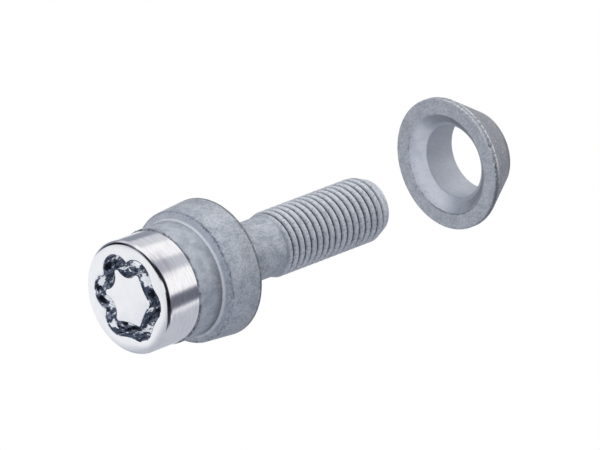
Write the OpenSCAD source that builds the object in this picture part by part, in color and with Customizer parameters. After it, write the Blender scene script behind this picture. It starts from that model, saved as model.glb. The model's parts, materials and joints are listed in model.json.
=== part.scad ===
// Locking wheel bolt, M12, with its loose taper seat ring taken off.
// Millimetres. The origin is the centre of the head face, and +Z runs along
// the bolt to the end of the thread, so the bolt stands on its head.
// The ring lies beside it on its large face, with its axis along +Z too.

/* [Head] */
// Diameter of the bright turned head
head_d = 20.4; // [18:0.1:21.5]
// Length of the bright turned head
head_len = 7.4; // [6.5:0.1:10]
// Radius on the edge of the head face
head_edge_r = 0.55; // [0.2:0.05:1]
// Step outwards from the turned head to the rough neck
neck_step = 0.2; // [0.1:0.05:0.5]
// Length of the rough neck, from the step to the collar
neck_len = 5.6; // [3:0.1:9]
// Radius in the corner where the neck meets the collar
neck_root_r = 0.45; // [0.2:0.05:0.7]

/* [Key groove] */
// Notches between the lobes, in turn round the axis: 1 is deep, 0 is shallow
notch_code = [1, 1, 0, 0, 0, 1]; // [0, 1]
// Distance from the axis to the centre of each lobe
lobe_place = 4.7; // [4.2:0.05:5]
// Radius of each lobe
lobe_r = 3.2; // [2.9:0.05:3.5]
// Turn of the first lobe about the axis, in degrees
lobe_turn = 26.6; // [0:0.1:60]
// Radius in a deep notch
deep_notch_r = 0.25; // [0.1:0.05:1]
// Radius across a shallow notch
shallow_notch_r = 10; // [4:0.5:20]
// How far the arc in a notch cuts into the lobes beside it
notch_bite = 0.02; // [0.01:0.01:0.1]
// Width of the groove
groove_w = 2.5; // [1.8:0.05:2.7]
// Depth of the groove
groove_depth = 5; // [3:0.1:8]

/* [Collar] */
// Diameter of the collar at its front edge
collar_front_d = 23.9; // [23:0.1:25]
// Diameter of the collar at its back rim
collar_back_d = 24.8; // [23.5:0.1:26]
// Length of the collar
collar_len = 7.5; // [6:0.1:10]
// How far the front face of the collar leans back towards its edge
collar_lean = 0.5; // [0.1:0.05:1]
// Radius on the front and back edges of the collar
collar_edge_r = 0.35; // [0.2:0.05:0.5]

/* [Ball seat] */
// Radius of the ball seat behind the collar
ball_r = 12; // [11:0.1:13]
// Diameter of the seat where it meets the flat back of the collar
seat_mouth_d = 17.6; // [16.5:0.1:18.5]
// Radius where the ball seat runs into the shank
seat_root_r = 0.9; // [0.4:0.05:1.2]

/* [Shank and thread] */
// Length of the whole bolt
bolt_len = 60; // [50:0.5:80]
// Diameter of the plain shank
shank_d = 10.8; // [10.4:0.05:11.4]
// Diameter over the crests of the thread
thread_d = 11.84; // [11.74:0.01:11.96]
// Length of the thread, with the taper on its end
thread_len = 25.6; // [20:0.1:27]
// Length of the cone between the shank and the thread
run_in = 0.7; // [0.4:0.1:1.5]
// How far the taper on the end of the thread sinks below the crests
end_taper = 1; // [0.8:0.05:1.8]
// Length of the taper on the end of the thread
end_taper_len = 2.5; // [1.5:0.1:4]

/* [Seat ring] */
// Diameter of the ring over its rim
ring_d = 23; // [22:0.1:24]
// Length of the straight rim
rim_len = 1; // [0.6:0.1:2]
// Full angle of the outer cone, in degrees
cone_angle = 60; // [55:1:65]
// Wall of the ring at its small end
back_wall = 1; // [0.5:0.05:1.4]
// Gap all round between the crests of the thread and the bore of the ring
bore_gap = 0.43; // [0.3:0.01:1]
// Gap between the ball seat of the bolt and the seat in the ring
seat_gap = 0.03; // [0.02:0.01:0.1]
// Radius on the edges of the ring
ring_edge_r = 0.2; // [0.1:0.05:0.3]
// Place of the ring beside the bolt, along X
ring_x = -88.5; // [-120:0.1:-30]
// Place of the ring beside the bolt, along Y
ring_y = 2.1; // [-30:0.1:30]

/* [Hidden] */
$fn = 96;
arc_steps = 8;
overrun = 0.5;

head_r = head_d / 2;
neck_r = head_r + neck_step;
front_r = collar_front_d / 2;
back_r = collar_back_d / 2;
seat_mouth_r = seat_mouth_d / 2;
shank_r = shank_d / 2;
thread_r = thread_d / 2;

// Stations along the bolt
neck_end = head_len + neck_step + neck_len;
collar_back = neck_end + collar_len;
thread_start = bolt_len - thread_len;
ball_z = collar_back - sqrt(pow(ball_r, 2) - pow(seat_mouth_r, 2));

// Fillet that touches both the ball seat and the shank
fillet_r = shank_r + seat_root_r;
fillet_z = ball_z + sqrt(pow(ball_r + seat_root_r, 2) - pow(fillet_r, 2));
fillet_angle = atan2(fillet_z - ball_z, fillet_r);
mouth_angle = acos(seat_mouth_r / ball_r);

// Groove: round lobes that meet in notches
lobes = len(notch_code);
half_pitch = 180 / lobes;

// Ring: its seat is the ball of the bolt plus the gap, its bore clears the thread
ring_r = ring_d / 2;
bore_r = thread_r + bore_gap;
cup_r = ball_r + seat_gap;
cup_z = -sqrt(pow(cup_r, 2) - pow(seat_mouth_r, 2));
small_end_r = bore_r + back_wall;
ring_len = rim_len + (ring_r - small_end_r) / tan(cone_angle / 2);

// Points of an arc about [x, y], from angle a to angle b
function arc(x, y, r, a, b) = [
    for (i = [0:arc_steps])
        let (t = a + (b - a) * i / arc_steps)
        [x + r * cos(t), y + r * sin(t)]
];

function bolt_profile() = concat(
    [[0, 0]],
    arc(head_r - head_edge_r, head_edge_r, head_edge_r, -90, 0),
    [[head_r, head_len], [neck_r, head_len + neck_step]],
    arc(neck_r + neck_root_r, neck_end - neck_root_r, neck_root_r, 180, 90),
    arc(front_r - collar_edge_r, neck_end + collar_lean + collar_edge_r, collar_edge_r, -90, 0),
    arc(back_r - collar_edge_r, collar_back - collar_edge_r, collar_edge_r, 0, 90),
    arc(0, ball_z, ball_r, mouth_angle, fillet_angle),
    arc(fillet_r, fillet_z, seat_root_r, fillet_angle + 180, 180),
    [
        [shank_r, thread_start - run_in],
        [thread_r, thread_start],
        [thread_r, bolt_len - end_taper_len],
        [thread_r - end_taper, bolt_len],
        [0, bolt_len]
    ]
);

function ring_profile() = concat(
    arc(ring_r - ring_edge_r, ring_edge_r, ring_edge_r, -90, 0),
    [[ring_r, rim_len], [small_end_r, ring_len]],
    [[bore_r + ring_edge_r, ring_len], [bore_r, ring_len - ring_edge_r]],
    arc(0, cup_z, cup_r, acos(bore_r / cup_r), acos(seat_mouth_r / cup_r))
);

// Radius of a notch, and the distance from the axis to the centre of its arc
function notch_r(i) = notch_code[i] == 1 ? deep_notch_r : shallow_notch_r;
function notch_place(i) = lobe_place * cos(half_pitch)
    + sqrt(pow(lobe_r + notch_r(i) - notch_bite, 2) - pow(lobe_place * sin(half_pitch), 2));

// Centres of a lobe's arc and of the arc in the notch that follows it
function polar(r, a) = [r * cos(a), r * sin(a)];
function lobe_centre(i) = polar(lobe_place, lobe_turn + 2 * i * half_pitch);
function notch_centre(i) = polar(notch_place(i), lobe_turn + (2 * i + 1) * half_pitch);

// Outline of the lobes and notches, moved inwards by inset, about the same centres
module wavy_outline(inset) {
    difference() {
        union() {
            polygon([
                for (i = [0:lobes - 1])
                    each [lobe_centre(i), notch_centre(i)]
            ]);
            for (i = [0:lobes - 1])
                translate(lobe_centre(i)) circle(r = lobe_r - inset);
        }
        for (i = [0:lobes - 1])
            translate(notch_centre(i)) circle(r = notch_r(i) + inset);
    }
}

// The groove has one width all round, and leaves an island inside it
module groove_outline() {
    difference() {
        wavy_outline(0);
        wavy_outline(groove_w);
    }
}

// One forging: head, neck, collar, ball seat, shank and thread
module wheel_bolt() {
    color("silver")
        difference() {
            rotate_extrude() polygon(bolt_profile());
            translate([0, 0, -overrun])
                linear_extrude(groove_depth + overrun) groove_outline();
        }
}

// Loose ring: taper outside for the wheel, ball seat and clear bore inside
module seat_ring() {
    color("darkgray")
        translate([ring_x, ring_y, 0])
            rotate_extrude() polygon(ring_profile());
}

wheel_bolt();
seat_ring();
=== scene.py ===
"""A locking wheel bolt standing on its head, with its loose taper seat ring lying beside it.

Sizes are in millimetres and are scaled to metres as each mesh is made. The bolt's axis is +Z and
its head face is at height 0. The camera looks at the head face, so it stands below the floor,
which can only be seen from above.
"""
import json
import math

import bmesh
import bpy
from mathutils import Matrix, Vector


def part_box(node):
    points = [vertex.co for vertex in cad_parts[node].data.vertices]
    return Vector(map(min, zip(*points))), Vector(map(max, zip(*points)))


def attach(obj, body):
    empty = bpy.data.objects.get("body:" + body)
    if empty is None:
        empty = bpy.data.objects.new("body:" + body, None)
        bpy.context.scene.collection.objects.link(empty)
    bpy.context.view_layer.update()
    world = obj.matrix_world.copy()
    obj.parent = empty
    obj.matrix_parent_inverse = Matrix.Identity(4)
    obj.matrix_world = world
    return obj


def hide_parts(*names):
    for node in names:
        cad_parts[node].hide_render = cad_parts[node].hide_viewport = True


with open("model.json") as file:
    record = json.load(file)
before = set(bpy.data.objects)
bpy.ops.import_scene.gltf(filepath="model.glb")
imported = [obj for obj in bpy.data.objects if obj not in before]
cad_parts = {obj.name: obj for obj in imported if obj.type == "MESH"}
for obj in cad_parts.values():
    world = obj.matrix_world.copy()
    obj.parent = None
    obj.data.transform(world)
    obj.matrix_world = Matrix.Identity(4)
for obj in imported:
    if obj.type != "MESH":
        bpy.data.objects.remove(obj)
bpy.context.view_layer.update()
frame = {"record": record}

MM = 0.001
MOUNTS = {mount["name"]: mount for mount in frame["record"]["mounts"]}
_, BOLT_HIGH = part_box("wheel_bolt")
RING_LOW, RING_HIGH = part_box("seat_ring")

# Bolt, from the frame
BOLT_LEN = BOLT_HIGH.z / MM
THREAD_R = MOUNTS["thread"]["dims"]["r_mm"]
COLLAR_BACK_R = BOLT_HIGH.x / MM

# Bolt, measured in the photograph. The turn is how far the cut on the edge of the head bows, in degrees.
HEAD_R = 10.2
HEAD_LEN = 7.4
HEAD_EDGE_BOW_R = 0.95
HEAD_EDGE_SOFT_R = 0.2
HEAD_EDGE_TURN = 18
HEAD_BACK_R = 0.1
NECK_STEP = 0.2
NECK_R = HEAD_R + NECK_STEP
NECK_END = 13.2
NECK_ROOT_R = 0.45
COLLAR_FRONT_R = 11.95
COLLAR_LEAN = 0.5
COLLAR_EDGE_R = 0.35
COLLAR_BACK = 20.7
BALL_R = 12.0
SEAT_MOUTH_R = 8.8
SEAT_ROOT_R = 0.9
SHANK_R = 5.4
THREAD_LEN = 25.6
RUN_IN = 0.7
END_TAPER = 1.0
END_TAPER_LEN = 2.5
THREAD_START = BOLT_LEN - THREAD_LEN
SHANK_END = THREAD_START - RUN_IN

# Key groove
LOBES = 6
LOBE_PLACE = 4.7
LOBE_R = 3.2
LOBE_TURN = 26.6
DEEP_NOTCHES = (True, True, False, False, False, True)
DEEP_NOTCH_R = 0.25
SHALLOW_NOTCH_R = 10.0
NOTCH_BITE = 0.02
GROOVE_W = 2.5
GROOVE_DEPTH = 5.0
GROOVE_LIP_R = 0.22
ISLAND_LIP_R = 0.12
GROOVE_FLOOR_R = 0.4

# Painted bright and dark reflections on the walls of the groove, as (degrees round the axis, depth,
# reach, lift)
OUTER_WALL_REFLECTIONS = (
    (10, 1.0, 0.7, -0.6),
    (10, 2.5, 0.8, 0.8),
    (20, 1.0, 0.7, 0.3),
    (28, 0.5, 0.7, -0.5),
    (35, 1.5, 1.0, 0.5),
    (65, 1.0, 0.8, -0.6),
    (70, 2.0, 1.1, -0.1),
    (295, 4.5, 1.0, 0.5),
    (315, 4.0, 0.8, -0.5),
    (328, 4.5, 0.8, 0.7),
    (330, 3.5, 0.6, -0.5),
    (335, 1.0, 0.9, 0.6),
    (340, 0.5, 0.5, -0.5),
    (350, 1.5, 0.6, -0.3),
    (355, 0.5, 0.5, -0.5),
    (360, 2.0, 0.6, 0.5),
)
ISLAND_REFLECTIONS = (
    (90, 4.5, 1.1, 0.8),
    (160, 1.5, 1.2, 0.6),
    (190, 1.5, 0.9, -0.6),
    (245, 3.0, 1.4, -0.1),
)

# Thread. Its depth, half its crest and its flank are shares of the pitch, as in a metric thread, and
# the flank's curve is a power. It starts a whole number of columns round from the first lobe, so that
# it welds to the shank.
PITCH = 1.5
THREAD_DEPTH = 0.6134 * PITCH
HALF_CREST = 1 / 10
FLANK = 3 / 8
FLANK_CURVE = 2.4
THREAD_FADE = 1.2
ROWS_PER_PITCH = 16
THREAD_TURN = LOBE_TURN + 144

# Ring
RING_CENTRE = ((RING_LOW + RING_HIGH) / 2).xy
RING_R = (RING_HIGH.x - RING_LOW.x) / 2 / MM
RING_LEN = RING_HIGH.z / MM
RING_BORE_R = MOUNTS["ring_bore"]["dims"]["r_mm"]
RIM_LEN = 1.0
CONE_HALF_ANGLE = 30
BACK_WALL = 1.0
SEAT_GAP = 0.03
SEAT_DEPTH = 2.0
SEAT_EDGE_R = 0.4
RING_EDGE_R = 0.2

# Points round the bolt and the ring, round the groove, and on each rounded edge
AROUND = 240
AROUND_GROOVE = 2 * AROUND
ARC_POINTS = 6
SHARP_ANGLE = math.radians(38)
WELD = 0.002

# View, found by fitting the camera to the photograph
PHOTO_WIDTH = 600
PHOTO_HEIGHT = 450
VIEW_FROM_AXIS = math.radians(48.16)
AXIS_IN_PICTURE = math.radians(20.8)
VIEW_DISTANCE = 3108.0
PIXELS_PER_MM = 5.788
ORIGIN_PIXEL = (127.7, 298.2)
SENSOR_WIDTH = 36.0

# Bright steel, with a painted dark reflection band at that many degrees round the axis
WHITE = (1.0, 1.0, 1.0, 1)
BLACK = (0.0, 0.0, 0.0, 1)
STEEL_DARK = (0.88, 0.865, 0.89, 1)
STEEL_LIGHT = (0.99, 0.975, 0.985, 1)
STEEL_PAINTED_BAND = (0.60, 0.58, 0.62, 1)
PAINTED_BAND_AT = 160
FACE_DARK = (0.84, 0.86, 0.90, 1)
FACE_LIGHT = (0.93, 0.94, 0.96, 1)
# Colours of the painted reflections in the groove, and of the painted dark reflection on its lips
REFLECTION_BLACK = (0.012, 0.014, 0.022, 1)
REFLECTION_BLUE = (0.15, 0.18, 0.25, 1)
REFLECTION_GREY = (0.42, 0.47, 0.57, 1)
REFLECTION_GLOW = (0.95, 0.97, 1.0, 1)
GLOW_STRENGTH = 0.45
LIP_DARK_REFLECTION = (0.03, 0.035, 0.045, 1)

# Zinc coat of the bolt
ZINC_DARK = (0.43, 0.46, 0.505, 1)
ZINC_LIGHT = (0.615, 0.64, 0.68, 1)
SPECK_DARK = (0.28, 0.30, 0.345, 1)
SPECK_LIGHT = (0.82, 0.84, 0.88, 1)
# Painted shade behind the head and near the collar, and painted light on the collar's front face
STEP_SHADE = (0.09, 0.095, 0.11, 1)
NECK_SHADE = (0.17, 0.18, 0.205, 1)
COLLAR_FACE_LIT = (0.90, 0.92, 0.96, 1)
COLLAR_EDGE = (0.12, 0.125, 0.14, 1)
COLLAR_BLOOM = (0.36, 0.35, 0.355, 1)
SHANK_BLOOM = (0.36, 0.31, 0.29, 1)
SHANK_PATCH = (0.20, 0.23, 0.29, 1)
# Painted light on the thread's crests and painted shade in its groove
THREAD_CREST_LIGHT = (0.98, 0.99, 1.0, 1)
THREAD_ROOT_SHADE = (0.04, 0.045, 0.06, 1)

# Zinc coat of the ring
RING_DARK = (0.475, 0.495, 0.525, 1)
RING_LIGHT = (0.65, 0.665, 0.69, 1)
SEAT_DULL = (0.48, 0.505, 0.555, 1)
MOUTH_WORN = (0.92, 0.93, 0.96, 1)
MOUTH_DIRT = (0.20, 0.21, 0.24, 1)
MOUTH_LINE = (0.13, 0.14, 0.16, 1)
BORE_EDGE = (0.16, 0.17, 0.20, 1)
BORE_TONE = (0.58, 0.60, 0.65, 1)
# Painted shade on the ring's outside
CONE_SHADE_BLUE = (0.20, 0.215, 0.255, 1)
CONE_SHADE_BROWN = (0.29, 0.27, 0.275, 1)
# Wear and painted highlight on the rim's edges
RIM_WORN_LIT = (0.92, 0.93, 0.94, 1)
RIM_CHIP = (0.08, 0.085, 0.10, 1)
RIM_SHADE = (0.11, 0.105, 0.11, 1)

# The studio that bright metal reflects: dark flags as (azimuth, half width, softness, strength),
# in degrees, and dark spots as (direction, half width, softness, strength)
FLAGS = (
    (40, 9, 13, 0.63),
    (70, 12, 12, 0.28),
    (145, 7, 13, 0.38),
    (220, 9, 10, 0.82),
    (296, 44, 18, 0.42),
)
SPOTS = (
    ((-0.743, -0.04, -0.667), 28, 22, 0.97),
    ((0.0, 0.0, -1.0), 22, 9, 0.95),
    ((0.66, 0.62, -0.43), 14, 10, 0.95),
    ((0.38, 0.74, -0.56), 13, 9, 0.80),
    ((-0.14, 0.55, -0.82), 14, 10, 0.95),
    ((-0.13, -0.58, -0.80), 14, 10, 0.90),
    ((-0.42, -0.76, -0.50), 12, 10, 0.85),
)
REFLECTED_LEVEL = 0.97
AMBIENT_LEVEL = 0.71
SHADE_TONE = (0.68, 0.77, 1.0, 1)
OFF_ZERO = 0.0001


class Value:
    """The output of a node, so that maths on it reads as Python."""

    def __init__(self, graph, socket):
        self.graph = graph
        self.socket = socket

    def __add__(self, other):
        return self.graph.math("ADD", self, other)

    def __radd__(self, other):
        return self.graph.math("ADD", other, self)

    def __sub__(self, other):
        return self.graph.math("SUBTRACT", self, other)

    def __rsub__(self, other):
        return self.graph.math("SUBTRACT", other, self)

    def __mul__(self, other):
        return self.graph.math("MULTIPLY", self, other)

    def __rmul__(self, other):
        return self.graph.math("MULTIPLY", other, self)

    def __truediv__(self, other):
        return self.graph.math("DIVIDE", self, other)

    def __rtruediv__(self, other):
        return self.graph.math("DIVIDE", other, self)


class Graph:
    """Adds nodes to one tree."""

    def __init__(self, tree):
        self.tree = tree
        tree.nodes.clear()

    def node(self, kind, settings=None, inputs=None, output=0):
        """A node of that type, with its settings made first and its inputs set or linked."""
        made = self.tree.nodes.new(kind)
        for name, value in (settings or {}).items():
            setattr(made, name, value)
        for name, value in (inputs or {}).items():
            if isinstance(value, Value):
                self.tree.links.new(value.socket, made.inputs[name])
            else:
                made.inputs[name].default_value = value
        return Value(self, made.outputs[output]) if made.outputs else made

    def math(self, operation, *numbers):
        return self.node("ShaderNodeMath", {"operation": operation}, dict(enumerate(numbers)))

    def vector(self, operation, *vectors):
        return self.node("ShaderNodeVectorMath", {"operation": operation}, dict(enumerate(vectors)))

    def measure(self, operation, first, second):
        """A number from two vectors, such as their distance."""
        inputs = {0: first, 1: second}
        return self.node("ShaderNodeVectorMath", {"operation": operation}, inputs, output="Value")

    def scaled(self, vector, amount):
        return self.node("ShaderNodeVectorMath", {"operation": "SCALE"}, {0: vector, "Scale": amount})

    def join(self, x, y, z):
        return self.node("ShaderNodeCombineXYZ", inputs={0: x, 1: y, 2: z})

    def split(self, vector):
        apart = self.node("ShaderNodeSeparateXYZ", inputs={0: vector}).socket.node
        return [Value(self, socket) for socket in apart.outputs]

    def mix(self, amount, first, second):
        """A colour between the first and the second."""
        inputs = {0: amount, 6: first, 7: second}
        return self.node("ShaderNodeMix", {"data_type": "RGBA"}, inputs, output=2)

    def ramp(self, value, low, high, start=0.0, end=1.0):
        """A soft step: start where value is low, end where it is high."""
        inputs = {"Value": value, "From Min": low, "From Max": high, "To Min": start, "To Max": end}
        return self.node("ShaderNodeMapRange", {"interpolation_type": "SMOOTHSTEP"}, inputs)

    def band(self, value, low, high, soft):
        """1 where value lies between low and high, 0 outside, with soft edges."""
        over_low = self.ramp(value, low - soft, low + soft)
        return over_low * self.ramp(value, high - soft, high + soft, 1.0, 0.0)

    def clamp(self, value, low, high):
        return self.math("MINIMUM", self.math("MAXIMUM", value, low), high)

    def reach(self, x, y):
        """The distance from the axis."""
        return self.math("SQRT", x * x + y * y)

    def noise(self, vector, scale, detail=2.0, roughness=0.5, output=0):
        inputs = {"Vector": vector, "Scale": scale, "Detail": detail, "Roughness": roughness}
        return self.node("ShaderNodeTexNoise", inputs=inputs, output=output)


def arc(x, y, radius, first, last):
    """Points of an arc about (x, y), with its angles in degrees."""
    steps = range(ARC_POINTS + 1)
    angles = [math.radians(first + (last - first) * step / ARC_POINTS) for step in steps]
    return [(x + radius * math.cos(a), y + radius * math.sin(a)) for a in angles]


def where_ray_meets(place, radius, offset, side):
    """Where a ray from the axis enters (side -1) or leaves (side 1) a circle whose centre is at place,
    offset radians aside. None where the ray misses it."""
    across = place * math.sin(offset)
    if abs(across) > radius:
        return None
    return place * math.cos(offset) + side * math.sqrt(radius ** 2 - across ** 2)


def wavy_outline(angle, inset):
    """The wall of the key groove, moved inwards by inset: round lobes with a deep or shallow notch
    between each two."""
    pitch = math.tau / LOBES
    turned = (angle - math.radians(LOBE_TURN)) % math.tau
    notch = int(turned / pitch) % LOBES
    offset = abs(turned - (notch + 0.5) * pitch)
    notch_r = DEEP_NOTCH_R if DEEP_NOTCHES[notch] else SHALLOW_NOTCH_R
    reach = LOBE_R + notch_r - NOTCH_BITE
    beside, along = LOBE_PLACE * math.sin(pitch / 2), LOBE_PLACE * math.cos(pitch / 2)
    place = along + math.sqrt(reach ** 2 - beside ** 2)

    # The arcs of lobe and notch meet on the line between their centres
    share = (LOBE_R - inset) / reach
    meeting = math.atan2(beside * (1 - share), along + share * (place - along))
    in_notch = where_ray_meets(place, notch_r + inset, offset, -1)
    in_lobe = where_ray_meets(LOBE_PLACE, LOBE_R - inset, pitch / 2 - offset, 1)
    if in_notch is None:
        return in_lobe
    if in_lobe is None or offset < meeting:
        return in_notch
    return min(in_notch, in_lobe)


def ring_of_verts(bm, radius, height, points):
    """A closed row of vertices. The radius is a number, or a function of the angle."""
    angles = [math.radians(LOBE_TURN) + math.tau * step / points for step in range(points)]
    reach = [radius(a) if callable(radius) else radius for a in angles]
    return [
        bm.verts.new((r * math.cos(a) * MM, r * math.sin(a) * MM, height * MM))
        for r, a in zip(reach, angles)
    ]


def revolve(bm, rows, finish, points=AROUND, smooth=True):
    """Adds a skin through rows of (radius, height)."""
    rings = []
    for radius, height in rows:
        if radius == 0:
            rings.append([bm.verts.new((0, 0, height * MM))] * points)
        else:
            rings.append(ring_of_verts(bm, radius, height, points))
    for lower, upper in zip(rings, rings[1:]):
        for here in range(points):
            there = (here + 1) % points
            corners = dict.fromkeys((lower[here], lower[there], upper[there], upper[here]))
            face = bm.faces.new(list(corners))
            face.material_index = finish
            face.smooth = smooth


def finished_mesh(bm, name, materials):
    """Welds the skins of a piece into one closed mesh with its materials."""
    bmesh.ops.remove_doubles(bm, verts=bm.verts, dist=WELD * MM)
    bmesh.ops.recalc_face_normals(bm, faces=bm.faces)
    mesh = bpy.data.meshes.new(name)
    bm.to_mesh(mesh)
    bm.free()
    for material in materials:
        mesh.materials.append(material)
    mesh.set_sharp_from_angle(angle=SHARP_ANGLE)
    return mesh


def add_object(name, mesh):
    made = bpy.data.objects.new(name, mesh)
    bpy.context.scene.collection.objects.link(made)
    return made


def wall_rows(inset, outwards, lip_r):
    """Rows over the rounded lip of one wall of the groove, down the wall and round to the floor.
    outwards is 1 on the outer wall, which stands round the groove, and -1 on the island's."""
    turns = [math.radians(90 * step / ARC_POINTS) for step in range(ARC_POINTS + 1)]
    lip = [(inset - outwards * lip_r * (1 - math.sin(t)), lip_r * (1 - math.cos(t))) for t in turns]
    low = GROOVE_DEPTH - GROOVE_FLOOR_R
    foot = [
        (inset + outwards * GROOVE_FLOOR_R * (1 - math.cos(t)), low + GROOVE_FLOOR_R * math.sin(t))
        for t in turns
    ]
    return [
        ((lambda angle, moved=moved: wavy_outline(angle, moved)), height)
        for moved, height in lip + foot
    ]


def add_groove(bm, face, groove):
    """The key groove with the island in it, in those two finishes."""
    island = wall_rows(GROOVE_W, -1, ISLAND_LIP_R)
    outer = wall_rows(0.0, 1, GROOVE_LIP_R)
    revolve(bm, [(0, 0), island[0]], face, AROUND_GROOVE, smooth=False)
    revolve(bm, island + outer[::-1], groove, AROUND_GROOVE)


def add_face_ring(bm, face):
    """The flat ring of the head face, from the fine rim of the groove to the coarser edge of the head."""
    rim = wall_rows(0.0, 1, GROOVE_LIP_R)[0]
    inner = ring_of_verts(bm, *rim, AROUND_GROOVE)
    outer = ring_of_verts(bm, *head_side_rows()[0], AROUND)
    each = AROUND_GROOVE // AROUND
    for here in range(AROUND):
        corners = [inner[(here * each + step) % AROUND_GROOVE] for step in range(each + 1)]
        flat = bm.faces.new(corners + [outer[(here + 1) % AROUND], outer[here]])
        flat.material_index = face
        flat.smooth = False


def head_side_rows():
    """The bowed cut on the edge of the head, which meets the face in a crease and the side softly,
    and the turned side of the head."""
    bow, soft, turn = HEAD_EDGE_BOW_R, HEAD_EDGE_SOFT_R, math.radians(HEAD_EDGE_TURN)
    edge_len = bow * (math.cos(turn) - math.sin(turn)) + soft * math.sin(turn)
    bow_r = HEAD_R - soft - (bow - soft) * math.cos(turn)
    bow_z = edge_len + (bow - soft) * math.sin(turn)
    front = arc(bow_r, bow_z, bow, HEAD_EDGE_TURN - 90, -HEAD_EDGE_TURN)
    side = arc(HEAD_R - soft, edge_len, soft, -HEAD_EDGE_TURN, 0)
    back = arc(HEAD_R - HEAD_BACK_R, HEAD_LEN - HEAD_BACK_R, HEAD_BACK_R, 0, 90)
    return front + side + back


def coated_rows():
    """Neck, collar, ball seat and shank, from the step behind the head to the thread."""
    ball_z = COLLAR_BACK - math.sqrt(BALL_R ** 2 - SEAT_MOUTH_R ** 2)
    fillet_r = SHANK_R + SEAT_ROOT_R
    fillet_z = ball_z + math.sqrt((BALL_R + SEAT_ROOT_R) ** 2 - fillet_r ** 2)
    meeting = math.degrees(math.atan2(fillet_z - ball_z, fillet_r))
    mouth = math.degrees(math.acos(SEAT_MOUTH_R / BALL_R))
    edge = COLLAR_EDGE_R
    rows = [(HEAD_R - HEAD_BACK_R, HEAD_LEN)]
    rows += arc(NECK_R - NECK_STEP, HEAD_LEN + NECK_STEP, NECK_STEP, -90, 0)
    rows += arc(NECK_R + NECK_ROOT_R, NECK_END - NECK_ROOT_R, NECK_ROOT_R, 180, 90)
    rows += arc(COLLAR_FRONT_R - edge, NECK_END + COLLAR_LEAN + edge, edge, -90, 0)
    rows += arc(COLLAR_BACK_R - edge, COLLAR_BACK - edge, edge, 0, 90)
    rows += arc(0, ball_z, BALL_R, mouth, meeting)
    rows += arc(fillet_r, fillet_z, SEAT_ROOT_R, meeting + 180, 180)
    return rows + [(SHANK_R, SHANK_END)]


def thread_tree(coat, sizes):
    """Geometry nodes for a right-hand thread: a sheet whose rows follow the helix. The sizes are the
    tree's inputs."""
    tree = bpy.data.node_groups.new("right_hand_thread", "GeometryNodeTree")
    graph = Graph(tree)
    tree.interface.new_socket("Geometry", in_out="OUTPUT", socket_type="NodeSocketGeometry")
    for name, value in sizes.items():
        kind = "NodeSocketInt" if isinstance(value, int) else "NodeSocketFloat"
        tree.interface.new_socket(name, in_out="INPUT", socket_type=kind)
    given = graph.node("NodeGroupInput").socket.node
    size = {socket.name: Value(graph, socket) for socket in given.outputs if socket.name}

    grid = {"Size X": 1.0, "Size Y": 1.0, "Vertices X": size["Columns"] + 1, "Vertices Y": size["Rows"] + 1}
    sheet = graph.node("GeometryNodeMeshGrid", inputs=grid)
    across, along, _ = graph.split(graph.node("GeometryNodeInputPosition"))
    turn = across + 0.5
    step = (along + 0.5) * size["Rows"] / size["Rows per pitch"]

    # Each row keeps its place in the thread form while it climbs one pitch a turn
    climb = size["Start"] + (step - 1 + turn) * size["Pitch"]
    height = graph.clamp(climb, size["Start"], size["End"])
    from_crest = graph.math("ABSOLUTE", graph.math("FRACT", step) - 0.5)
    down_flank = graph.clamp((from_crest - size["Half crest"]) / size["Flank"], 0, 1)
    sunk = graph.math("POWER", down_flank, size["Flank curve"])
    form = size["Crest radius"] - size["Depth"] * sunk
    fade = graph.math("MINIMUM", (height - size["Start"]) / size["Fade"], 1)
    faded = size["Shank radius"] + (form - size["Shank radius"]) * fade
    into_taper = graph.math("MAXIMUM", height - (size["End"] - size["Taper length"]), 0)
    cone = size["Crest radius"] - size["Taper"] * into_taper / size["Taper length"]
    radius = graph.math("MINIMUM", faded, cone)
    angle = turn * math.tau + size["Turn"]

    place = graph.join(radius * graph.math("COSINE", angle), radius * graph.math("SINE", angle), height)
    wound = graph.node("GeometryNodeSetPosition", inputs={"Geometry": sheet, "Position": place})
    real = graph.node("GeometryNodeRealizeInstances", inputs={"Geometry": wound})
    coated = graph.node("GeometryNodeSetMaterial", inputs={"Geometry": real, "Material": coat})
    graph.node("NodeGroupOutput", inputs={"Geometry": coated})
    return tree


def plain_mesh_of_tree(tree, sizes):
    """Evaluates a geometry tree on an empty object and returns its result as a plain mesh."""
    holder = add_object("tree_holder", bpy.data.meshes.new("tree_holder"))
    modifier = holder.modifiers.new("tree", "NODES")
    modifier.node_group = tree
    for item in tree.interface.items_tree:
        if item.in_out == "INPUT":
            modifier[item.identifier] = sizes[item.name]
    seen = holder.evaluated_get(bpy.context.evaluated_depsgraph_get())
    mesh = bpy.data.meshes.new_from_object(seen)
    bpy.data.objects.remove(holder)
    return mesh


def thread_mesh(coat):
    pitches = math.ceil((BOLT_LEN - SHANK_END) / PITCH) + 1
    sizes = {
        "Start": SHANK_END * MM,
        "End": BOLT_LEN * MM,
        "Pitch": PITCH * MM,
        "Depth": THREAD_DEPTH * MM,
        "Half crest": HALF_CREST,
        "Flank": FLANK,
        "Flank curve": FLANK_CURVE,
        "Crest radius": THREAD_R * MM,
        "Shank radius": SHANK_R * MM,
        "Fade": THREAD_FADE * MM,
        "Taper": END_TAPER * MM,
        "Taper length": END_TAPER_LEN * MM,
        "Turn": math.radians(THREAD_TURN),
        "Columns": AROUND,
        "Rows": pitches * ROWS_PER_PITCH,
        "Rows per pitch": ROWS_PER_PITCH,
    }
    return plain_mesh_of_tree(thread_tree(coat, sizes), sizes)


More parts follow.
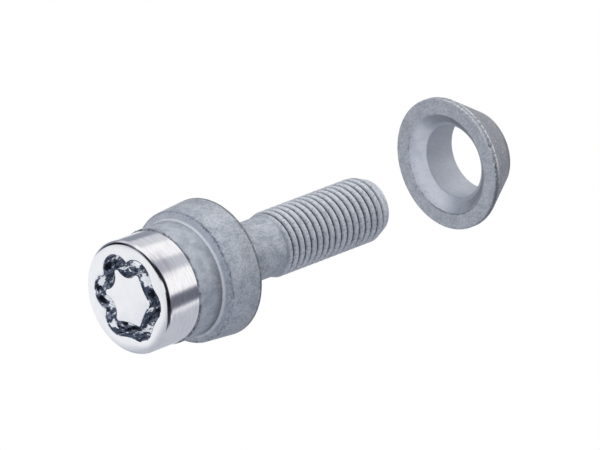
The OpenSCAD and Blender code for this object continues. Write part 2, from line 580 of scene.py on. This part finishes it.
def make_bolt():
    """The whole bolt as one closed mesh: bright head, coated body and thread."""
    finishes = [turned_face(), turned_side(), forged_groove(), zinc_coat()]
    face, side, groove, coat = range(4)
    bm = bmesh.new()
    add_groove(bm, face, groove)
    add_face_ring(bm, face)
    revolve(bm, head_side_rows(), side)
    revolve(bm, coated_rows(), coat)
    revolve(bm, [(THREAD_R - END_TAPER, BOLT_LEN), (0, BOLT_LEN)], coat)
    before = len(bm.faces)
    bm.from_mesh(thread_mesh(finishes[coat]))
    bm.faces.ensure_lookup_table()
    for wound in bm.faces[before:]:
        wound.material_index = coat
        wound.smooth = True
    bolt = add_object("bolt", finished_mesh(bm, "bolt", finishes))
    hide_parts("wheel_bolt")
    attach(bolt, "root")


def ring_rows():
    """Once round the section of the ring, from the seat's mouth outwards and back through the bore."""
    small_end_r = RING_BORE_R + BACK_WALL
    cup_r = BALL_R + SEAT_GAP
    cup_z = -math.sqrt(cup_r ** 2 - SEAT_MOUTH_R ** 2)
    edge = RING_EDGE_R

    # The mouth of the seat is rounded: it turns from the flat face into the ball
    turn = 90 - math.degrees(math.acos(SEAT_MOUTH_R / cup_r))
    mouth_r = SEAT_MOUTH_R + SEAT_EDGE_R * math.tan(math.radians(turn / 2))
    mouth = arc(mouth_r, SEAT_EDGE_R, SEAT_EDGE_R, -90 - turn, -90)
    seat_angles = [math.degrees(math.acos(radius / cup_r)) for radius in (RING_BORE_R, mouth[0][0])]

    rows = [mouth[-1]]
    rows += arc(RING_R - edge, edge, edge, -90, 0)
    rows += arc(RING_R - edge, RIM_LEN, edge, 0, CONE_HALF_ANGLE)
    rows += arc(small_end_r - edge, RING_LEN - edge, edge, CONE_HALF_ANGLE, 90)
    rows += arc(RING_BORE_R + edge, RING_LEN - edge, edge, 90, 180)
    return rows + arc(0, cup_z, cup_r, *seat_angles)[:-1] + mouth


def make_ring():
    bm = bmesh.new()
    revolve(bm, ring_rows(), 0)
    bmesh.ops.translate(bm, verts=bm.verts, vec=(RING_CENTRE.x, RING_CENTRE.y, 0))
    ring = add_object("taper_ring", finished_mesh(bm, "taper_ring", [ring_coat()]))
    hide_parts("seat_ring")
    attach(ring, "root")


def new_material(name):
    """A material, its graph, and the place on the piece in millimetres."""
    material = bpy.data.materials.new(name)
    material.use_nodes = True
    graph = Graph(material.node_tree)
    place = graph.node("ShaderNodeTexCoord", output="Object")
    return material, graph, graph.scaled(place, 1 / MM)


def finish_material(graph, colour, roughness, metallic, height, depth):
    """The shader, with a bump of that height. depth is how deep it is, in millimetres."""
    bump = {"Height": height, "Strength": 1.0, "Distance": depth * MM}
    shader = graph.node("ShaderNodeBsdfPrincipled", inputs={
        "Base Color": colour,
        "Roughness": roughness,
        "Metallic": metallic,
        "Normal": graph.node("ShaderNodeBump", inputs=bump),
    })
    graph.node("ShaderNodeOutputMaterial", inputs={"Surface": shader})


def turned_side():
    """Bright steel with turning marks that run round the head and break up what it reflects, and a
    painted dark reflection band on one side, near the face."""
    material, graph, place = new_material("turned_side")
    x, y, z = graph.split(place)
    marks = graph.noise(graph.join(x * 0.12, y * 0.12, z * 5), 1.0, 3.0, 0.65)
    steps = graph.noise(graph.join(x * 0.45, y * 0.45, z * 1.3), 1.0, 3.0, 0.6)
    streaks = graph.noise(graph.join(x * 0.4, y * 0.4, z * 3), 1.0, 3.0, 0.6)
    colour = graph.mix(graph.ramp(streaks, 0.35, 0.6), STEEL_DARK, STEEL_LIGHT)
    # Painted dark reflection: darker steel near the face at that angle, streaked by the turning marks
    turn = math.radians(PAINTED_BAND_AT)
    painted_band = graph.ramp(x * math.cos(turn) + y * math.sin(turn), HEAD_R - 0.5, HEAD_R - 0.05)
    painted_band = painted_band * graph.ramp(z, 5.5, 2.0) * graph.ramp(marks, 0.4, 0.55, 0.4, 1.0)
    colour = graph.mix(painted_band * 0.8, colour, STEEL_PAINTED_BAND)
    roughness = graph.ramp(marks, 0.35, 0.7, 0.12, 0.18)
    finish_material(graph, colour, roughness, 1.0, marks * 0.10 + steps, 0.014)
    return material


def turned_face():
    """Bright steel of the head face, a little duller, with faint rings from facing."""
    material, graph, place = new_material("turned_face")
    x, y, _ = graph.split(place)
    rings = graph.noise(graph.join(x * 0.1, y * 0.1, graph.reach(x, y) * 5), 1.0, 4.0, 0.7)
    colour = graph.mix(graph.noise(place, 0.35, 3.0), FACE_DARK, FACE_LIGHT)
    roughness = graph.ramp(rings, 0.3, 0.7, 0.16, 0.26)
    finish_material(graph, colour, roughness, 1.0, rings, 0.0008)
    return material


def painted_reflection_level(graph, place):
    """How bright the painted reflection is at each place in the groove, from 0 to 1: ragged cells,
    lifted or lowered round the places in OUTER_WALL_REFLECTIONS and ISLAND_REFLECTIONS."""
    swirl = graph.noise(place, 0.9, output="Color")
    swirl = graph.vector("SUBTRACT", swirl, (0.5, 0.5, 0.5))
    cells = {"Vector": graph.vector("ADD", place, graph.scaled(swirl, 2.2)), "Scale": 0.85}
    tone, _, _ = graph.split(graph.node("ShaderNodeTexVoronoi", inputs=cells, output="Color"))
    level = tone * 0.7 + (graph.noise(place, 1.3, 3.0, 0.6) - 0.5) * 1.5 + 0.28
    here = graph.vector("ADD", place, graph.scaled(swirl, 1.4))
    for inset, painted_places in ((0.0, OUTER_WALL_REFLECTIONS), (GROOVE_W, ISLAND_REFLECTIONS)):
        for degrees, depth, reach, lift in painted_places:
            angle = math.radians(degrees)
            out = wavy_outline(angle, inset)
            there = (out * math.cos(angle), out * math.sin(angle), depth)
            away = graph.measure("DISTANCE", here, there)
            level = level + graph.ramp(away, reach * 1.2, reach * 0.6) * lift
    return level


def forged_groove():
    """Plated walls of the key groove. What they reflect is painted on as ragged patches of white,
    blue-grey and black, with a painted dark reflection along their rounded lips. A weak glow on the
    white ones stands for the light that the walls throw at each other."""
    material, graph, place = new_material("forged_groove")
    level = painted_reflection_level(graph, place)
    # Painted reflections: black, blue-grey, grey or white by the painted level
    white = graph.ramp(level, 0.80, 1.0)
    colour = graph.mix(graph.ramp(level, 0.2, 0.5), REFLECTION_BLACK, REFLECTION_BLUE)
    colour = graph.mix(graph.ramp(level, 0.5, 0.85), colour, REFLECTION_GREY)
    colour = graph.mix(white, colour, WHITE)
    _, _, z = graph.split(place)
    # A painted dark reflection along the rounded lips of both walls, where the glow is left off
    rim = graph.band(z, 0.08, 0.26, 0.05)
    shader = graph.node("ShaderNodeBsdfPrincipled", inputs={
        "Base Color": graph.mix(rim * 0.7, colour, LIP_DARK_REFLECTION),
        "Roughness": 0.2,
        "Metallic": 0.1,
        "Emission Color": graph.mix(white * (1 - rim), BLACK, REFLECTION_GLOW),
        "Emission Strength": GLOW_STRENGTH,
    })
    graph.node("ShaderNodeOutputMaterial", inputs={"Surface": shader})
    return material


def round_the_axis(graph, place):
    """x, y, z and the distance from the axis."""
    x, y, z = graph.split(place)
    return x, y, z, graph.reach(x, y)


def speckled(graph, colour, grain, amount):
    """The colour with dark and light specks on it."""
    colour = graph.mix(graph.ramp(grain, 0.5, 0.66) * amount * 0.6, colour, SPECK_DARK)
    return graph.mix(graph.ramp(grain, 0.5, 0.36) * amount * 0.5, colour, SPECK_LIGHT)


def neck_shade_and_light(graph, colour, place, lower):
    """The colour with painted shade in the step behind the head and where the neck nears the collar,
    and with painted light on the corner and the collar's front face. Returns the corner's painted
    highlight too."""
    x, y, z, radius = round_the_axis(graph, place)
    flecks = graph.noise(graph.join(x * 0.9, y * 0.9, z * 2.5), 1.0, 3.0, 0.7)
    # Painted shade: dark broken dashes in the step behind the head, left off towards +x
    step = graph.ramp(z, HEAD_LEN + 0.5, HEAD_LEN + 0.15) * graph.ramp(flecks, 0.46, 0.56)
    colour = graph.mix(step * graph.ramp(x, 3.0, 1.0) * 0.75, colour, STEP_SHADE)
    # Painted shade on the neck as it nears the collar, stronger on the lower side
    on_neck = graph.ramp(radius, NECK_R + 0.35, NECK_R + 0.2) * graph.ramp(z, NECK_END, NECK_END - 0.1)
    neck_shade = graph.ramp(z, NECK_END - 2.8, NECK_END - 0.5) * on_neck
    colour = graph.mix(neck_shade * (lower * 0.6 + 0.2), colour, NECK_SHADE)
    # Painted highlight: a bright line in the corner where the neck meets the collar, weaker on the lower
    # side
    corner_highlight = graph.band(z, NECK_END - 0.38, NECK_END, 0.08)
    corner_highlight = corner_highlight * graph.ramp(radius, NECK_R + 0.7, NECK_R + 0.5)
    colour = graph.mix(corner_highlight * (0.95 - lower * 0.2), colour, WHITE)
    # Painted light on the collar's front face, strong on the upper side and faint on the lower
    front = graph.band(z, NECK_END - 0.02, NECK_END + 0.5, 0.05)
    front = front * graph.ramp(radius, NECK_R + 0.4, NECK_R + 0.6)
    return graph.mix(front * (0.8 - lower * 0.7), colour, COLLAR_FACE_LIT), corner_highlight


def worn_collar(graph, colour, place):
    """The colour with small pits along the front edge of the collar, brown bloom towards its rear and a
    dark line round its rear edge. Returns the pits too, of which a few lie elsewhere."""
    x, y, z, radius = round_the_axis(graph, place)
    grit = graph.noise(graph.join(x * 1.2, y * 1.2, z * 4), 1.0, 3.0, 0.6)
    front_edge = graph.band(z, NECK_END + 0.4, NECK_END + 0.95, 0.1)
    front_edge = front_edge * graph.ramp(radius, COLLAR_FRONT_R - 0.55, COLLAR_FRONT_R - 0.35)
    pits = graph.ramp(grit, 0.50, 0.60) * front_edge * graph.ramp(y, 11.0, 6.0)
    pits = pits + graph.ramp(grit, 0.68, 0.74) * 0.5
    colour = graph.mix(graph.math("MINIMUM", pits, 1) * 0.75, colour, COLLAR_EDGE)
    bloom = graph.ramp(graph.noise(place, 0.9, 4.0, 0.65), 0.46, 0.62)
    bloom = bloom * graph.ramp(z, NECK_END + 2.5, COLLAR_BACK)
    bloom = bloom * graph.ramp(radius, COLLAR_FRONT_R - 0.45, COLLAR_FRONT_R + 0.05)
    colour = graph.mix(bloom * 0.75, colour, COLLAR_BLOOM)
    rear_edge = graph.band(z, COLLAR_BACK - 0.6, COLLAR_BACK, 0.12)
    rear_edge = rear_edge * graph.ramp(radius, COLLAR_FRONT_R - 0.15, COLLAR_FRONT_R + 0.05)
    return graph.mix(rear_edge * 0.9, colour, COLLAR_EDGE), pits


def thread_light_and_shade(graph, colour, place, lower, grain, on_thread):
    """The colour with painted light on the crests of the thread and on the flanks that face the head,
    weaker on the lower side, and painted shade at the bottom of its groove.
    """
    _, _, z, radius = round_the_axis(graph, place)
    into_taper = graph.math("MAXIMUM", z - (BOLT_LEN - END_TAPER_LEN), 0)
    above_root = radius + into_taper * END_TAPER / END_TAPER_LEN - (THREAD_R - THREAD_DEPTH)
    _, _, facing = graph.split(graph.node("ShaderNodeNewGeometry", output="Normal"))
    # Painted light: the crests and the flanks that face the head are whitened, less on the lower side
    crest = graph.ramp(above_root, 0.6, 0.85) * 0.55 + graph.ramp(facing, -0.1, -0.5) * 0.45
    crest = crest * (1 - lower * 0.4) * graph.ramp(grain, 0.35, 0.5, 0.8, 1.0)
    colour = graph.mix(crest * on_thread, colour, THREAD_CREST_LIGHT)
    # Painted shade at the bottom of the thread's groove, left off at the very end
    root = graph.ramp(above_root, 0.40, 0.68, 1.0, 0.0) * on_thread
    root = root * graph.ramp(z, BOLT_LEN - 0.02, BOLT_LEN - 0.1)
    return graph.mix(root * 0.92, colour, THREAD_ROOT_SHADE)


def stained_shank(graph, colour, place):
    """The colour with brown bloom and a darker blue patch on the shank, beside the collar."""
    _, y, z, radius = round_the_axis(graph, place)
    shank = graph.ramp(z, COLLAR_BACK + 0.5, COLLAR_BACK + 1.5)
    shank = shank * graph.ramp(radius, SHANK_R + 1.6, SHANK_R + 1.1)
    shank = shank * graph.ramp(z, COLLAR_BACK + 9.3, COLLAR_BACK + 4.3)
    bloom = graph.ramp(graph.noise(place, 1.1, 4.0, 0.65), 0.42, 0.6) * graph.ramp(y, -0.5, 2.5)
    colour = graph.mix(bloom * shank * 0.75, colour, SHANK_BLOOM)
    patch = graph.ramp(graph.noise(place, 0.7, 3.0), 0.36, 0.52) * graph.ramp(y, 0.5, -1.5)
    return graph.mix(patch * shank * 0.75, colour, SHANK_PATCH)


def zinc_coat():
    """Matt blue-grey zinc flakes: mottled, with painted shade where faces meet and painted light where
    they stand out.
    """
    material, graph, place = new_material("zinc_coat")
    _, y, z = graph.split(place)
    cloud = graph.noise(place, 0.45, 4.0, 0.6)
    grain = graph.noise(place, 2.4, 4.0, 0.75)
    # lower is 1 on the lower side: the painted light is weaker there and the painted shade stronger
    lower = graph.ramp(y, 7.0, -7.0)
    on_thread = graph.ramp(z, THREAD_START - 0.5, THREAD_START + 0.5)
    colour = graph.mix(graph.ramp(cloud, 0.35, 0.65), ZINC_DARK, ZINC_LIGHT)
    colour, corner_highlight = neck_shade_and_light(graph, colour, place, lower)
    colour, pits = worn_collar(graph, colour, place)
    colour = thread_light_and_shade(graph, colour, place, lower, grain, on_thread)
    colour = stained_shank(graph, colour, place)
    specks = graph.ramp(z, NECK_END + 0.3, NECK_END, 1.0, 0.4) + on_thread * 0.4
    colour = speckled(graph, colour, grain, specks)
    roughness = graph.ramp(cloud, 0.3, 0.7, 0.40, 0.52)
    height = graph.noise(place, 6.0, 3.0, 0.6) + grain * 0.8 - pits
    # The painted highlight in the neck's corner is not metallic
    finish_material(graph, colour, roughness, 0.25 - corner_highlight * 0.25, height, 0.03)
    return material


def seat_light_and_wear(graph, colour, place, cloud):
    """The colour with the ring's seat in a duller tone with painted light on one side, with wear and
    dirt on its mouth, a dark line along the mouth towards -y and a dark line round the bore's edge.
    Returns where the seat is too."""
    x, y, z, radius = round_the_axis(graph, place)
    on_seat = graph.ramp(radius, SEAT_MOUTH_R + 0.05, SEAT_MOUTH_R - 0.15)
    on_seat = on_seat * graph.ramp(z, SEAT_DEPTH + 0.1, SEAT_DEPTH - 0.1) * graph.ramp(z, 0.02, 0.08)
    # Painted light: the seat is whitened towards +x, and a little towards -x
    seat_light = graph.ramp(x + y * 0.1, 1.0, 5.5) * 0.95 + graph.ramp(x + y * 0.35, -4.2, -6.2) * 0.45
    seat_light = seat_light * graph.ramp(radius, SEAT_MOUTH_R, SEAT_MOUTH_R - 1.0, 0.65, 1.0)
    seat_light = seat_light * graph.ramp(cloud, 0.3, 0.6, 0.75, 1.0)
    colour = graph.mix(on_seat * 0.6, colour, SEAT_DULL)
    colour = graph.mix(on_seat * seat_light, colour, WHITE)
    scratches = graph.noise(graph.join(x * 0.8, y * 0.8, z * 6), 1.0, 4.0, 0.7)
    mouth = graph.band(radius, SEAT_MOUTH_R - 0.1, SEAT_MOUTH_R + 0.15, 0.1) * graph.ramp(z, 0.4, 0.2)
    colour = graph.mix(mouth * graph.ramp(scratches, 0.45, 0.65) * 0.5, colour, MOUTH_WORN)
    colour = graph.mix(mouth * graph.ramp(scratches, 0.52, 0.35) * 0.6, colour, MOUTH_DIRT)
    colour = graph.mix(mouth * graph.ramp(y, -3.5, -6.5) * 0.6, colour, MOUTH_LINE)
    bore_edge = graph.band(radius, RING_BORE_R - 0.05, RING_BORE_R + 0.12, 0.06)
    bore_edge = bore_edge * graph.ramp(z, SEAT_DEPTH + 0.6, SEAT_DEPTH + 0.3)
    return graph.mix(bore_edge * 0.25, colour, BORE_EDGE), on_seat


def outside_wear_and_shade(graph, colour, place, cloud):
    """The colour with painted shade on the -x side of the ring's outside, thin broken bright lines along
    both edges of the rim on its +y, -x side, which are wear and painted highlight, dark chips between
    them, and shade at the foot of the rim and on the back edge."""
    x, y, z, radius = round_the_axis(graph, place)
    outside = graph.ramp(radius, RING_BORE_R + 0.5, RING_BORE_R + 0.8) * graph.ramp(z, 0.15, 0.35)
    # Painted shade on the -x side of the ring's outside, mottled blue and brown
    shade_tint = graph.mix(graph.ramp(cloud, 0.4, 0.6), CONE_SHADE_BLUE, CONE_SHADE_BROWN)
    colour = graph.mix(outside * graph.ramp(x, 4.0, -5.0) * 0.85, colour, shade_tint)
    on_rim = graph.ramp(radius, RING_R - 0.4, RING_R - 0.25)
    lines = graph.band(z, 0.02, 0.22, 0.05) + graph.band(z, RIM_LEN - 0.15, RIM_LEN + 0.15, 0.06)
    lines = lines + graph.band(z, 0.2, RIM_LEN, 0.05) * 0.25
    broken = graph.ramp(graph.noise(place, 1.5, 4.0, 0.65), 0.40, 0.52)
    # Wear and painted highlight: the bright broken lines lie only on the +y, -x side, which faces the key
    # lamp
    worn_and_lit = lines * on_rim * broken * graph.ramp(y - x, 2.0, 9.0)
    colour = graph.mix(worn_and_lit * 0.85, colour, RIM_WORN_LIT)
    chips = graph.ramp(graph.noise(place, 1.3), 0.46, 0.54) * graph.band(z, 0.1, 0.6, 0.08)
    chips = chips * on_rim * graph.band(y, -5.0, 1.5, 1.0)
    colour = graph.mix(chips * 0.9, colour, RIM_CHIP)
    shaded = graph.band(z, 0.1, 0.8, 0.1) * on_rim * graph.ramp(y, -4.0, -6.0)
    back_edge = graph.ramp(z, RING_LEN - 1.6, RING_LEN - 0.9) * outside
    back_edge = back_edge * graph.ramp(y - x * 0.5, 8.0, 3.0)
    return graph.mix(shaded * 0.7 + back_edge * 0.7, colour, RIM_SHADE)


def ring_coat():
    """The ring's matt zinc flakes, with painted light on its seat, and painted shade and highlights
    on its outside.
    """
    material, graph, placed = new_material("ring_coat")
    middle = (RING_CENTRE.x / MM, RING_CENTRE.y / MM, 0)
    place = graph.vector("SUBTRACT", placed, middle)
    radius = round_the_axis(graph, place)[-1]
    cloud = graph.noise(place, 0.4, 4.0, 0.6)
    grain = graph.noise(place, 2.4, 4.0, 0.75)
    colour = graph.mix(graph.ramp(cloud, 0.35, 0.65), RING_DARK, RING_LIGHT)
    colour, on_seat = seat_light_and_wear(graph, colour, place, cloud)
    colour = outside_wear_and_shade(graph, colour, place, cloud)
    in_bore = graph.ramp(radius, RING_BORE_R + 0.2, RING_BORE_R + 0.05)
    colour = graph.mix(in_bore * 0.7, colour, BORE_TONE)
    smoother = graph.ramp(radius, SEAT_MOUTH_R, SEAT_MOUTH_R - 0.8, 0.35, 0.7)
    colour = speckled(graph, colour, grain, 1 - in_bore * 0.7 - on_seat * smoother)
    roughness = graph.ramp(cloud, 0.3, 0.7, 0.40, 0.54)
    height = graph.noise(place, 6.0, 3.0, 0.6) + grain * 0.8
    finish_material(graph, colour, roughness, 0.2 - on_seat * 0.2, height, 0.03)
    return material


def smooth_mask(graph, cosine, half, soft):
    """1 within half degrees of a direction whose cosine is given, with a soft edge."""
    return graph.ramp(cosine, math.cos(math.radians(half + soft)), math.cos(math.radians(half)))


def light_the_world():
    """White to the camera. Metal reflects white with soft dark flags, and matt faces get a plain level."""
    world = bpy.data.worlds.new("studio")
    world.use_nodes = True
    world.cycles.sampling_method = "NONE"
    graph = Graph(world.node_tree)
    direction = graph.node("ShaderNodeTexCoord", output="Generated")
    x, y, z = graph.split(direction)
    across = graph.reach(x, y) + OFF_ZERO
    level = REFLECTED_LEVEL
    for azimuth, half, soft, strength in FLAGS:
        turn = math.radians(azimuth)
        cosine = (x * math.cos(turn) + y * math.sin(turn)) / across
        level = level * (1 - smooth_mask(graph, cosine, half, soft) * strength)
    matt = level * AMBIENT_LEVEL
    for towards, half, soft, strength in SPOTS:
        cosine = graph.measure("DOT_PRODUCT", direction, towards)
        level = level * (1 - smooth_mask(graph, cosine, half, soft) * strength)

    # A bright slit between the spots gleams on the edge of the head
    gleam = graph.band(y, -0.13, 0.07, 0.04) * graph.ramp(x, -0.55, -0.30) * graph.ramp(z, -0.78, -0.86)
    level = level + (REFLECTED_LEVEL - level) * gleam

    path = graph.node("ShaderNodeLightPath").socket.node
    camera = Value(graph, path.outputs["Is Camera Ray"])
    transmission = Value(graph, path.outputs["Is Transmission Ray"])
    glossy = Value(graph, path.outputs["Is Glossy Ray"])
    white = graph.math("MAXIMUM", camera, transmission)
    seen = matt + (level - matt) * glossy
    strength = seen + (1 - seen) * white
    tone = graph.mix(graph.math("MAXIMUM", level, white), SHADE_TONE, WHITE)
    shader = graph.node("ShaderNodeBackground", inputs={"Color": tone, "Strength": strength})
    graph.node("ShaderNodeOutputWorld", inputs={"Surface": shader})
    bpy.context.scene.world = world


def add_lamp(name, place, size, level):
    """A square soft lamp that faces the bolt. level is the radiance of its face."""
    data = bpy.data.lights.new(name, "AREA")
    data.size = size
    data.energy = level * math.pi * size ** 2
    lamp = bpy.data.objects.new(name, data)
    lamp.location = place
    lamp.rotation_mode = "QUATERNION"
    lamp.rotation_quaternion = Vector(place).to_track_quat("Z", "Y")
    lamp.visible_glossy = False
    bpy.context.scene.collection.objects.link(lamp)


def add_lamps():
    add_lamp("key_lamp", place=(-0.30, 0.70, 0.50), size=0.6, level=2.6)
    add_lamp("fill_lamp", place=(-0.70, 0.05, -0.62), size=0.6, level=1.4)


def add_floor():
    """A pale floor just under the head face. It is seen from above only, and shades nothing."""
    half = 2.0
    height = -0.05 * MM
    corners = [(-half, -half, height), (half, -half, height), (half, half, height), (-half, half, height)]
    mesh = bpy.data.meshes.new("floor")
    mesh.from_pydata(corners, [], [(0, 1, 2, 3)])
    material = bpy.data.materials.new("pale_floor")
    material.use_nodes = True
    graph = Graph(material.node_tree)
    behind = graph.node("ShaderNodeNewGeometry", output="Backfacing")
    pale = graph.node("ShaderNodeBsdfDiffuse", inputs={"Color": (0.86, 0.86, 0.86, 1)})
    clear = graph.node("ShaderNodeBsdfTransparent")
    shader = graph.node("ShaderNodeMixShader", inputs={0: behind, 1: pale, 2: clear})
    graph.node("ShaderNodeOutputMaterial", inputs={"Surface": shader})
    mesh.materials.append(material)
    floor = add_object("floor", mesh)
    floor.visible_shadow = False
    floor.visible_glossy = False
    floor.visible_diffuse = False


def add_camera():
    """The camera at the photograph's angle, turned so that the bolt's axis lies as it does there."""
    ahead = Vector((math.sin(VIEW_FROM_AXIS), 0, math.cos(VIEW_FROM_AXIS)))
    along = Vector((-math.cos(VIEW_FROM_AXIS), 0, math.sin(VIEW_FROM_AXIS)))
    beside = along.cross(ahead)
    right = along * math.cos(AXIS_IN_PICTURE) - beside * math.sin(AXIS_IN_PICTURE)
    up = along * math.sin(AXIS_IN_PICTURE) + beside * math.cos(AXIS_IN_PICTURE)
    across = (ORIGIN_PIXEL[0] - PHOTO_WIDTH / 2) / PIXELS_PER_MM
    above = (PHOTO_HEIGHT / 2 - ORIGIN_PIXEL[1]) / PIXELS_PER_MM

    data = bpy.data.cameras.new("camera")
    data.sensor_width = SENSOR_WIDTH
    data.lens = SENSOR_WIDTH * PIXELS_PER_MM * VIEW_DISTANCE / PHOTO_WIDTH
    data.clip_start = 0.1
    data.clip_end = 20.0
    camera = bpy.data.objects.new("camera", data)
    turned = Matrix((right, up, -ahead)).transposed().to_4x4()
    to_origin = right * across + up * above + ahead * VIEW_DISTANCE
    camera.matrix_world = Matrix.Translation(-to_origin * MM) @ turned
    bpy.context.scene.collection.objects.link(camera)
    bpy.context.scene.camera = camera


bpy.context.scene.view_settings.view_transform = "Standard"
add_camera()
light_the_world()
add_lamps()
add_floor()
make_bolt()
make_ring()
